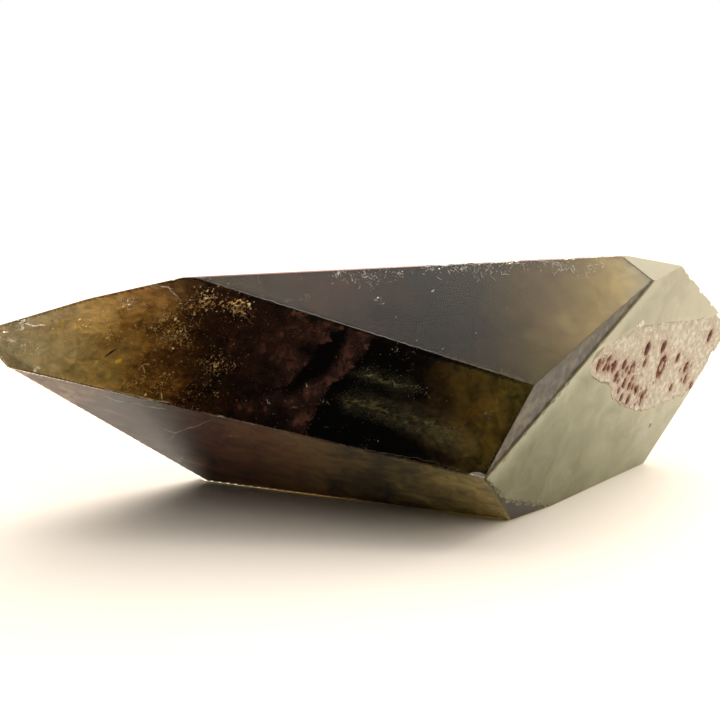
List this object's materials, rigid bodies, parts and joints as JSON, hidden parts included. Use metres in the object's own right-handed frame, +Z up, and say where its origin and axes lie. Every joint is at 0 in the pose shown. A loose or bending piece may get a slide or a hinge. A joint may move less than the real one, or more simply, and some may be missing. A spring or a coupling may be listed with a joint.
{
  "type": "quartz crystal point",
  "caption": "Smoky see-through quartz point with flat facets, phantom layers inside and a pale pitted end face, made to lie on one long face as a display stone.",
  "frame": {"origin": "on the base plane, under the middle of the crystal's box", "axes": "+X from the point to the pale end, +Y to the back, +Z up from the face that it rests on"},
  "size_m": [0.0904, 0.0346, 0.0289],
  "materials": {
    "smoky_quartz": "polished, see-through, smoky olive",
    "pale_end": "fine frosted, pale green-grey",
    "pitted_skin": "matt natural skin with rusty pits",
    "inclusions": "iron-coloured phantom layers, flakes and veils"
  },
  "bodies": {
    "root": {"crystal_point": "smoky_quartz"}
  },
  "joints": []
}
